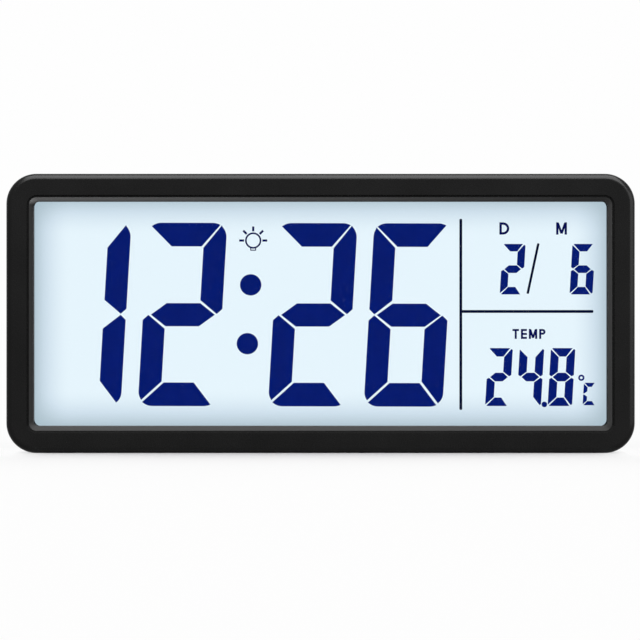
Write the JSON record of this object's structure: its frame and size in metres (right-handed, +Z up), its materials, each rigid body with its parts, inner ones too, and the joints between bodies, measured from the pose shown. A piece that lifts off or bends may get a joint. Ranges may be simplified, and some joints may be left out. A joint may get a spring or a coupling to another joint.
{
  "type": "digital day clock",
  "caption": "Wide black desk and wall clock with a large backlit liquid crystal display of the time, day, month and temperature.",
  "frame": {"origin": "on the supporting surface, under the middle of the case", "axes": "+X to the viewer's right, +Y out of the rear cover, +Z up; the display faces -Y"},
  "size_m": [0.23, 0.027, 0.1022],
  "materials": {
    "case_black": "fine matte texture",
    "key_black": "satin",
    "clear_lens": "clear polished",
    "glass": "clear float glass",
    "film": "thin polarising film",
    "segment_ink": "dark navy liquid crystal",
    "seal_grey": "cured seal",
    "light_white": "milky light-spreading plastic",
    "carrier_black": "moulded",
    "board_green": "solder resist",
    "part_black": "moulded resin",
    "film_amber": "flexible circuit",
    "steel": "zinc plated",
    "contact_nickel": "nickel plated",
    "cell_wrap": "plain printed sleeve",
    "pad_rubber": "matte",
    "lead_red": "soft insulation"
  },
  "bodies": {
    "case": {"front_bezel": "case_black", "rear_cover": "case_black", "case_screws": "steel", "carrier_screws": "steel", "board_screws": "steel", "lens_tape": "seal_grey", "window_lens": "clear_lens", "front_polariser": "film", "front_glass": "glass", "cell_seal": "seal_grey", "time_segments": "segment_ink", "date_segments": "segment_ink", "temperature_segments": "segment_ink", "display_rules": "segment_ink", "rear_glass": "glass", "rear_polariser": "film", "diffuser_sheet": "light_white", "light_guide": "light_white", "reflector_sheet": "light_white", "backlight_boards": "board_green", "backlight_leds": "light_white", "display_carrier": "carrier_black", "display_ribbon": "film_amber", "main_board": "board_green", "controller_chip": "part_black", "clock_crystal": "steel", "buzzer": "part_black", "temperature_sensor": "part_black", "key_switches": "part_black", "slide_switch_body": "part_black", "battery_cell_1": "cell_wrap", "battery_cell_2": "cell_wrap", "battery_cell_3": "cell_wrap", "battery_contacts": "contact_nickel", "battery_springs": "contact_nickel", "battery_leads": "lead_red", "backlight_leads": "lead_red"},
    "leg": {"stand_leg": "case_black", "stand_hinge_pin": "steel", "stand_foot_pad": "pad_rubber"},
    "door": {"battery_door": "case_black"},
    "light_button": {"light_key": "key_black", "light_switch_stem": "part_black"},
    "mode_button": {"mode_key": "key_black", "mode_switch_stem": "part_black"},
    "set_button": {"set_key": "key_black", "set_switch_stem": "part_black"},
    "up_button": {"up_key": "key_black", "up_switch_stem": "part_black"},
    "down_button": {"down_key": "key_black", "down_switch_stem": "part_black"},
    "slider": {"backlight_slider": "key_black", "slide_switch_lever": "part_black"}
  },
  "joints": [
    {"name": "leg_hinge", "type": "hinge", "parent": "case", "child": "leg", "pos_m": [0, 0.0112, 0.0684], "axis": [1, 0, 0], "range_deg": [0, 32]},
    {"name": "door_hinge", "type": "hinge", "parent": "case", "child": "door", "pos_m": [0.065, 0.0126, 0.06855], "axis": [1, 0, 0], "range_deg": [0, 80]},
    {"name": "light_press", "type": "slide", "parent": "case", "child": "light_button", "axis": [0, -1, 0], "range_m": [0, 0.0005], "stiffness_N_per_m": 200, "springref_m": -0.001},
    {"name": "mode_press", "type": "slide", "parent": "case", "child": "mode_button", "axis": [0, -1, 0], "range_m": [0, 0.0005], "stiffness_N_per_m": 200, "springref_m": -0.001},
    {"name": "set_press", "type": "slide", "parent": "case", "child": "set_button", "axis": [0, -1, 0], "range_m": [0, 0.0005], "stiffness_N_per_m": 200, "springref_m": -0.001},
    {"name": "up_press", "type": "slide", "parent": "case", "child": "up_button", "axis": [0, -1, 0], "range_m": [0, 0.0005], "stiffness_N_per_m": 200, "springref_m": -0.001},
    {"name": "down_press", "type": "slide", "parent": "case", "child": "down_button", "axis": [0, -1, 0], "range_m": [0, 0.0005], "stiffness_N_per_m": 200, "springref_m": -0.001},
    {"name": "backlight_slide", "type": "slide", "parent": "case", "child": "slider", "axis": [1, 0, 0], "range_m": [0, 0.004]}
  ]
}
